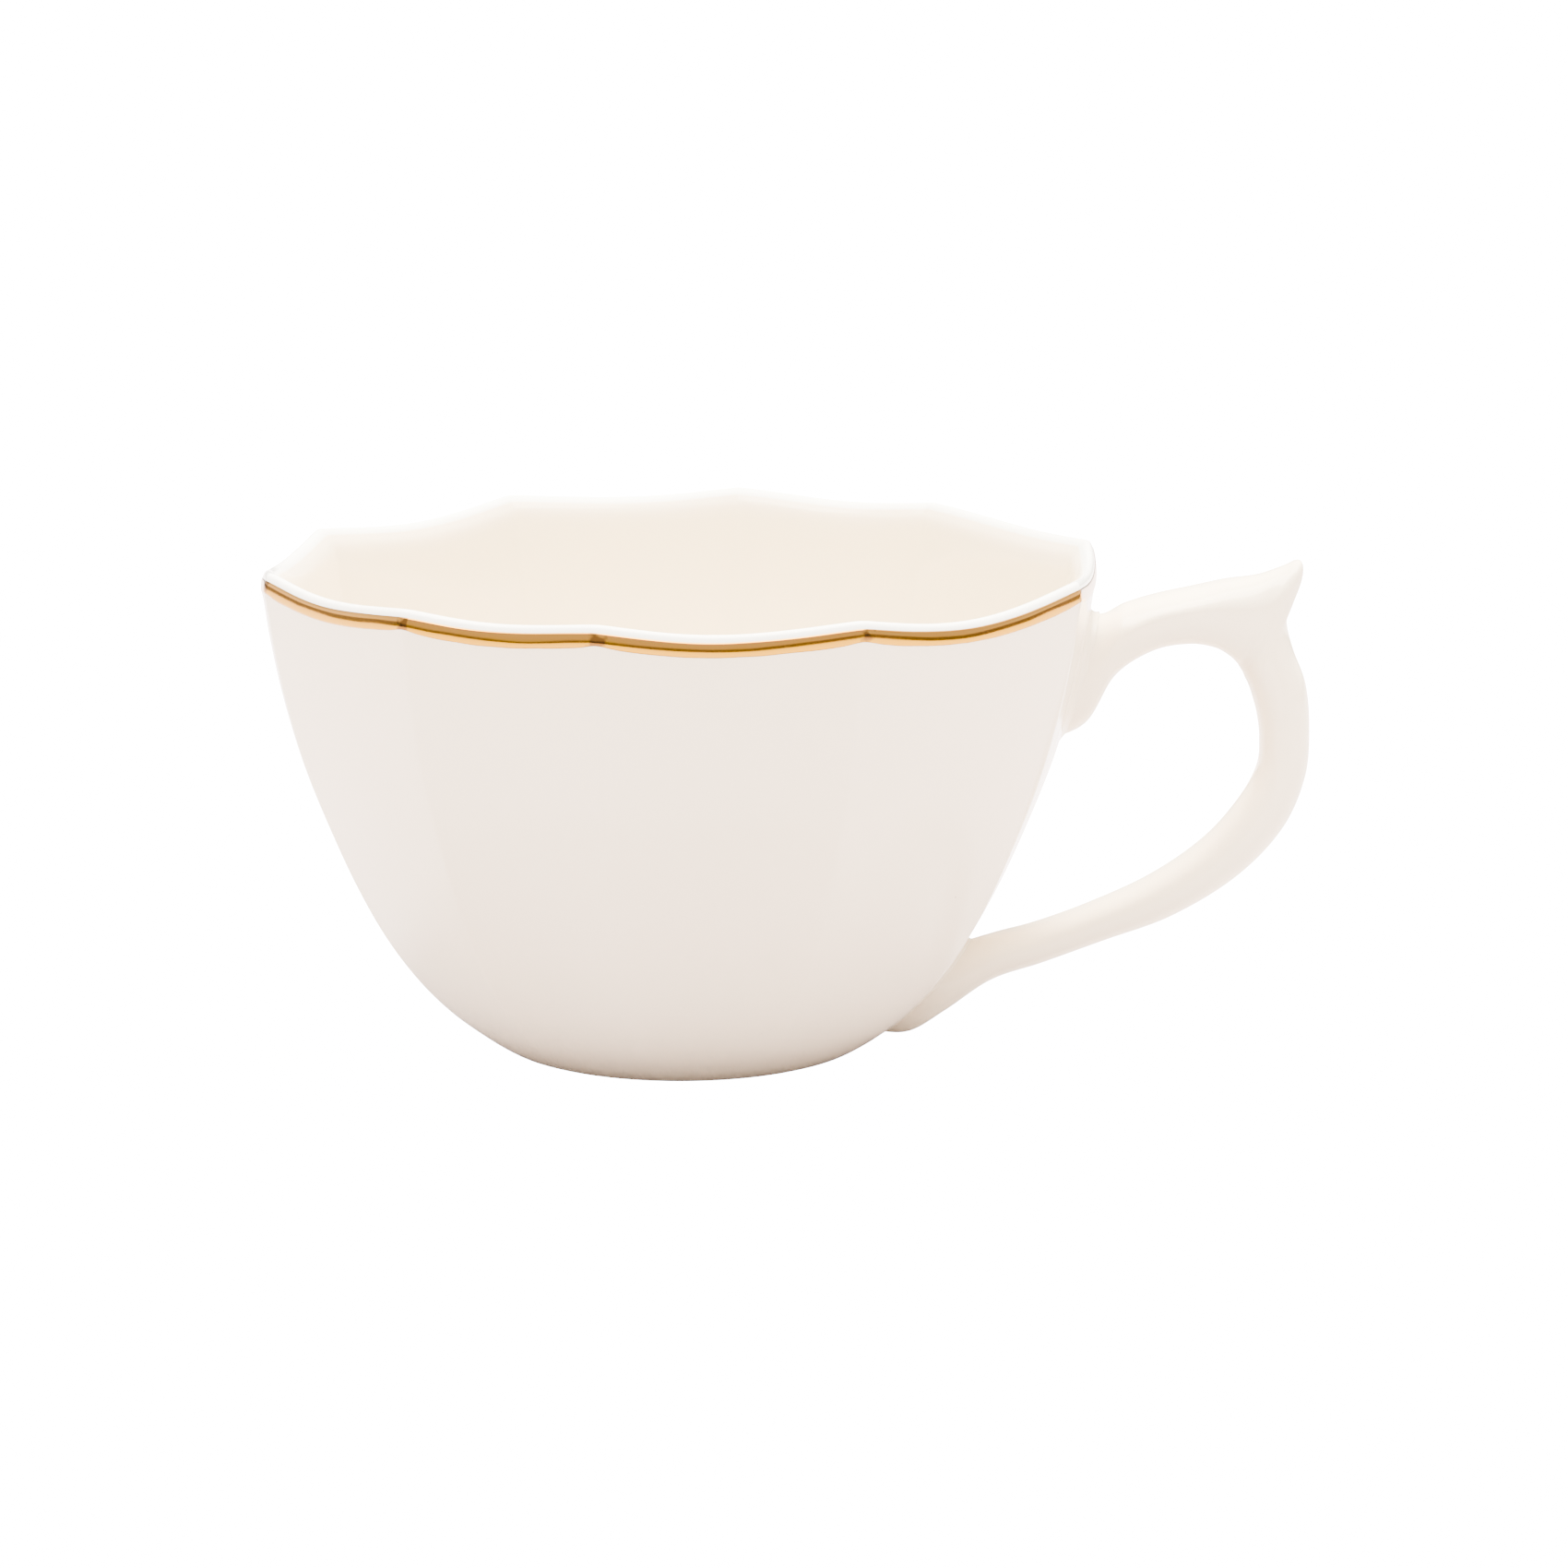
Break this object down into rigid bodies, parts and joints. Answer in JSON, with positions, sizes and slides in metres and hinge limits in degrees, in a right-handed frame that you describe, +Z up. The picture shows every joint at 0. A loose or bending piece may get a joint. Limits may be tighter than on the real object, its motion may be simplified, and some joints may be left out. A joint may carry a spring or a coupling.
{
  "type": "teacup",
  "caption": "Low porcelain teacup with a fluted, gently wavy rim, a thin gold line under the lip and a strap handle ending in a small thumb spur.",
  "frame": {"origin": "on the foot's axis, in the plane the foot stands on; the rim's centre lies 0.35 mm nearer to the handle", "axes": "+Z up along the foot's axis; +X from the axis towards the handle; the handle lies in the XZ plane"},
  "size_m": [0.1213, 0.0987, 0.0581],
  "materials": {
    "porcelain": "gloss",
    "handle_porcelain": "gloss",
    "joint_slip": "gloss",
    "gilding": "polished"
  },
  "bodies": {
    "root": {"cup_body": "porcelain", "handle": "handle_porcelain", "upper_joint": "joint_slip", "lower_joint": "joint_slip", "rim_gilding": "gilding"}
  },
  "joints": []
}
